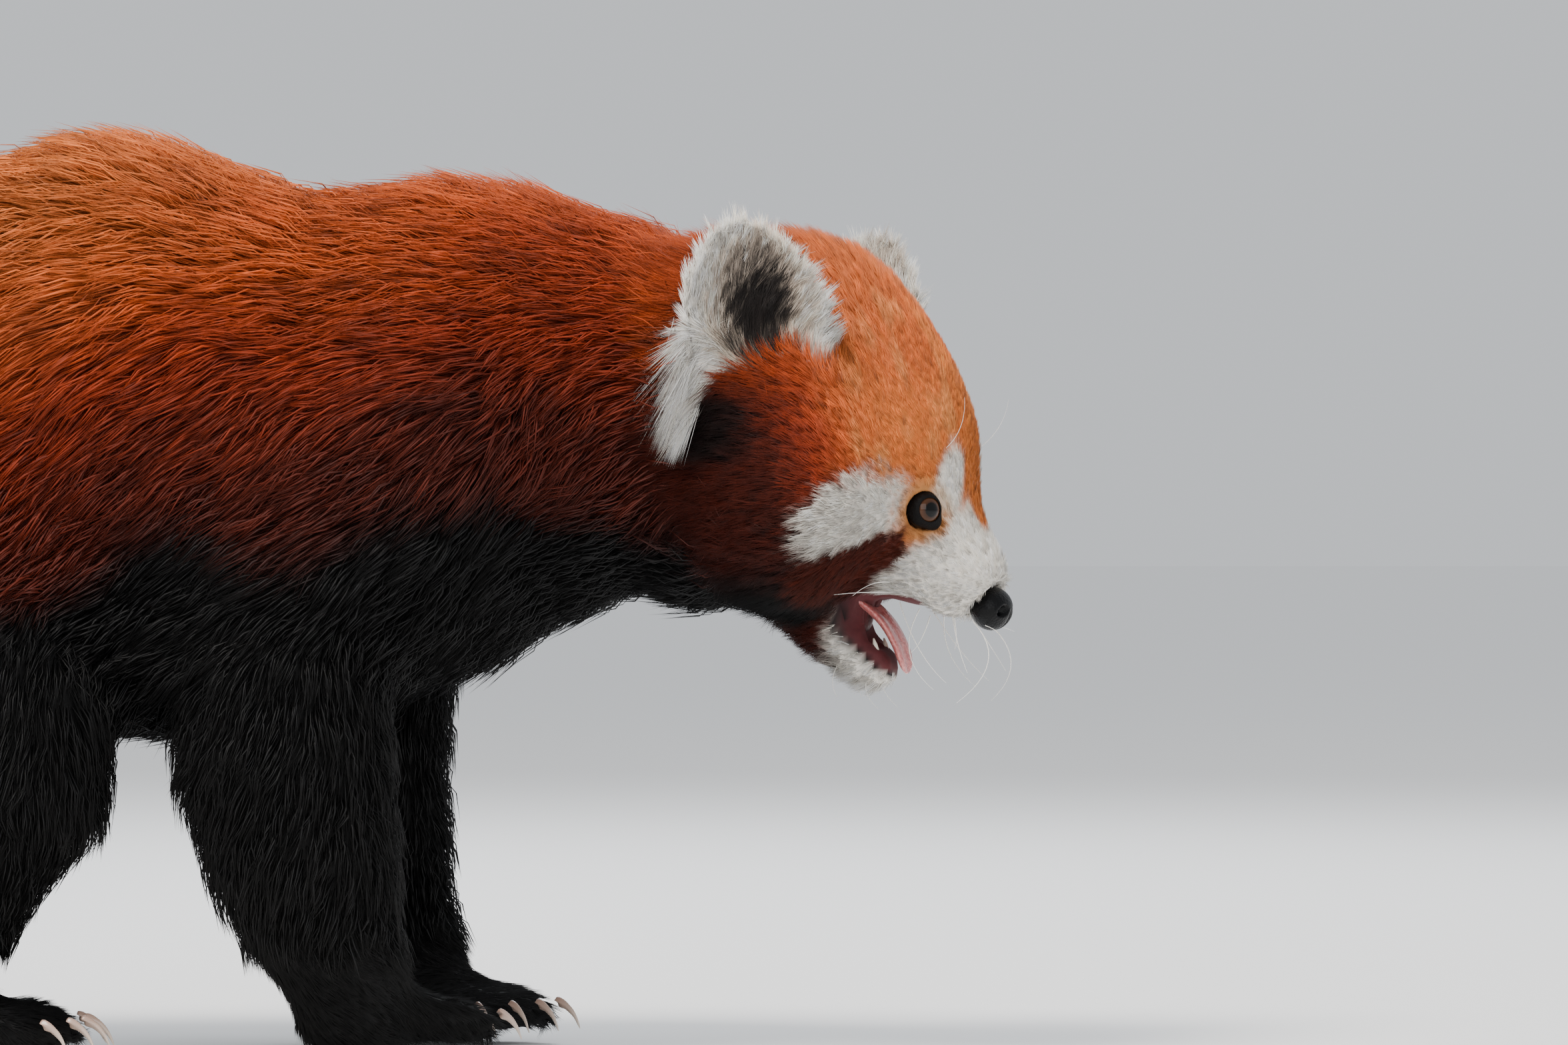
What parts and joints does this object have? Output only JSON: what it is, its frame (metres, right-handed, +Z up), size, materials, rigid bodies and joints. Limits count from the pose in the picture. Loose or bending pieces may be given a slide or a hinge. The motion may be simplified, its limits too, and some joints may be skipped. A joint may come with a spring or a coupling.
{
  "type": "red panda",
  "caption": "Still life-size model of a red panda walking with its head low, mouth open and tongue over the lower lip.",
  "frame": {"origin": "on the floor, under the middle of the animal's bounding box", "axes": "+X forward, the way the body faces; +Y to the animal's left; +Z up"},
  "size_m": [0.7974, 0.1942, 0.2818],
  "materials": {
    "red_fur": "long dense fur, red and orange",
    "ringed_fur": "long bushy fur in red and buff rings",
    "black_fur": "dense brown-black fur",
    "face_fur": "short fur, ginger and white",
    "white_fur": "soft white fur",
    "eye": "wet, glossy, dark brown",
    "nose_leather": "moist black nose leather",
    "tongue": "wet pink",
    "claw": "smooth horn, pale"
  },
  "bodies": {
    "root": {"ear_left": "white_fur", "ear_right": "white_fur", "eye_left": "eye", "eye_right": "eye", "foreleg_left": "black_fur", "foreleg_right": "black_fur", "forepaw_left": "black_fur", "forepaw_left_claw_1": "claw", "forepaw_left_claw_2": "claw", "forepaw_left_claw_3": "claw", "forepaw_left_claw_4": "claw", "forepaw_left_claw_5": "claw", "forepaw_right": "black_fur", "forepaw_right_claw_1": "claw", "forepaw_right_claw_2": "claw", "forepaw_right_claw_3": "claw", "forepaw_right_claw_4": "claw", "forepaw_right_claw_5": "claw", "head": "face_fur", "hindleg_left": "black_fur", "hindleg_right": "black_fur", "hindpaw_left": "black_fur", "hindpaw_left_claw_1": "claw", "hindpaw_left_claw_2": "claw", "hindpaw_left_claw_3": "claw", "hindpaw_left_claw_4": "claw", "hindpaw_left_claw_5": "claw", "hindpaw_right": "black_fur", "hindpaw_right_claw_1": "claw", "hindpaw_right_claw_2": "claw", "hindpaw_right_claw_3": "claw", "hindpaw_right_claw_4": "claw", "hindpaw_right_claw_5": "claw", "lower_jaw": "white_fur", "neck": "red_fur", "nose": "nose_leather", "tail_end": "ringed_fur", "tail_middle": "ringed_fur", "tail_root": "ringed_fur", "tongue": "tongue", "trunk": "red_fur"}
  },
  "joints": []
}
